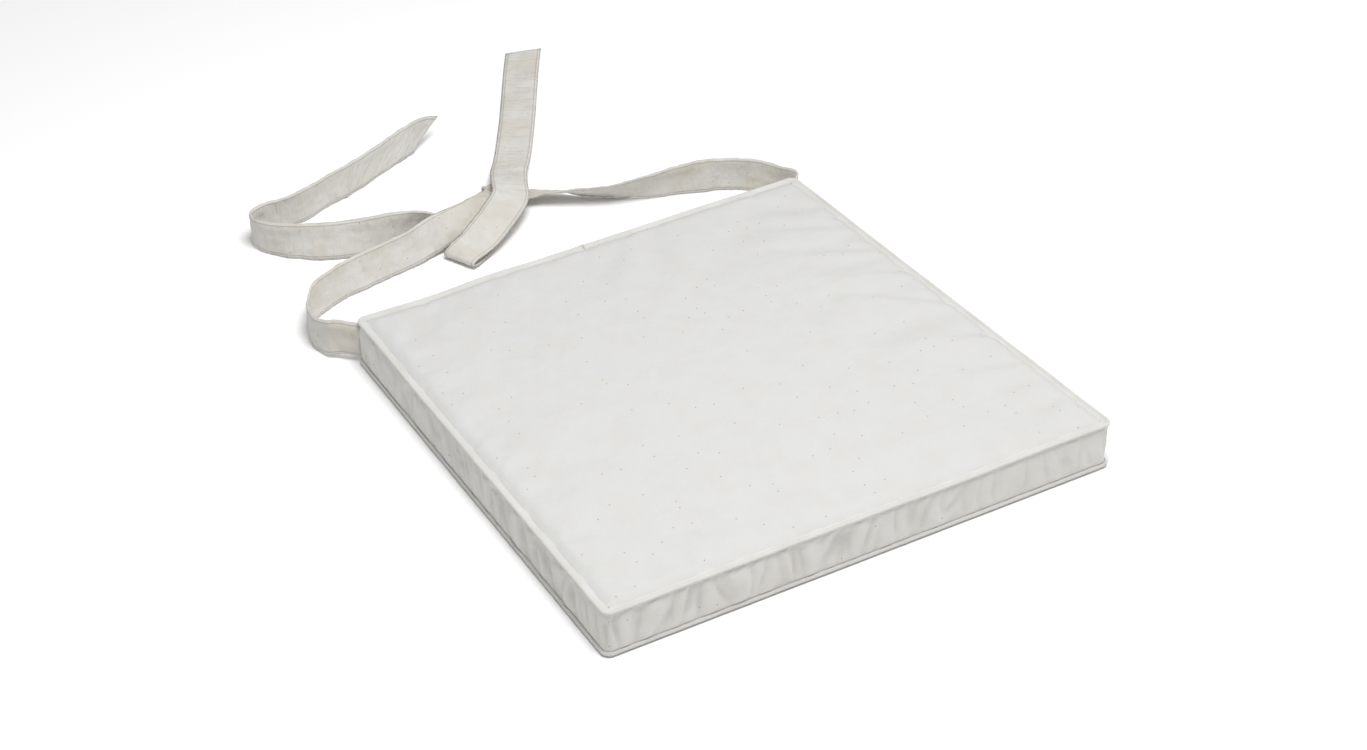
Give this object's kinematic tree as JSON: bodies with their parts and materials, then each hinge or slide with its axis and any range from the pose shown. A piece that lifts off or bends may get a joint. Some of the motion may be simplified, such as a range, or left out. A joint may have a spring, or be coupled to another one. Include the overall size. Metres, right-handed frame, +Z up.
{
  "type": "chair seat pad",
  "caption": "Boxed cotton seat pad with piped edges, a foam core, a zip in the rear band and two cloth ties knotted together behind it.",
  "frame": {"origin": "middle of the underside, on the surface the pad rests on", "axes": "+X to the right along the front edge, +Y from the front edge towards the ties, +Z up"},
  "size_m": [0.4255, 0.748, 0.0436],
  "materials": {
    "foam": "open-cell polyurethane foam, pale yellow",
    "cotton_panel": "unbleached plain-weave cotton, matt, with small dark flecks",
    "cotton_band": "unbleached plain-weave cotton, matt, puckered along its seams",
    "cotton_piping": "the same cotton cut on the bias and wrapped round a cord",
    "piping_cord": "soft twisted cotton cord",
    "zip_tape": "herringbone woven tape",
    "zip_nylon": "off-white nylon coil",
    "zip_metal": "plain nickel-coloured metal",
    "tie_cotton": "two layers of the same cotton, edge-stitched and a little creased"
  },
  "bodies": {
    "pad": {"foam_core": "foam", "top_panel": "cotton_panel", "bottom_panel": "cotton_panel", "side_band": "cotton_band", "rear_band_upper": "cotton_band", "rear_band_lower": "cotton_band", "top_piping_cover": "cotton_piping", "bottom_piping_cover": "cotton_piping", "top_piping_cord": "piping_cord", "bottom_piping_cord": "piping_cord", "zip_tape_upper": "zip_tape", "zip_tape_lower": "zip_tape", "zip_coil_upper": "zip_nylon", "zip_coil_lower": "zip_nylon", "zip_top_stop_upper": "zip_metal", "zip_top_stop_lower": "zip_metal", "zip_bottom_stop": "zip_metal", "tie_left_sewn_end": "tie_cotton", "tie_right_sewn_end": "tie_cotton"},
    "ties": {"tie_left": "tie_cotton", "tie_right": "tie_cotton"},
    "slider": {"zip_slider": "zip_metal"},
    "pull": {"zip_pull_tab": "zip_metal"}
  },
  "joints": [
    {"name": "ties_lift", "type": "hinge", "parent": "pad", "child": "ties", "pos_m": [0, 0.2025, 0.0202], "axis": [1, 0, 0], "range_deg": [0, 95]},
    {"name": "zip_slide", "type": "slide", "parent": "pad", "child": "slider", "axis": [1, 0, 0], "range_m": [0, 0.319]},
    {"name": "pull_swing", "type": "hinge", "parent": "slider", "child": "pull", "pos_m": [-0.1595, 0.202, 0.0202], "axis": [0, 0, 1], "range_deg": [0, 180]}
  ]
}
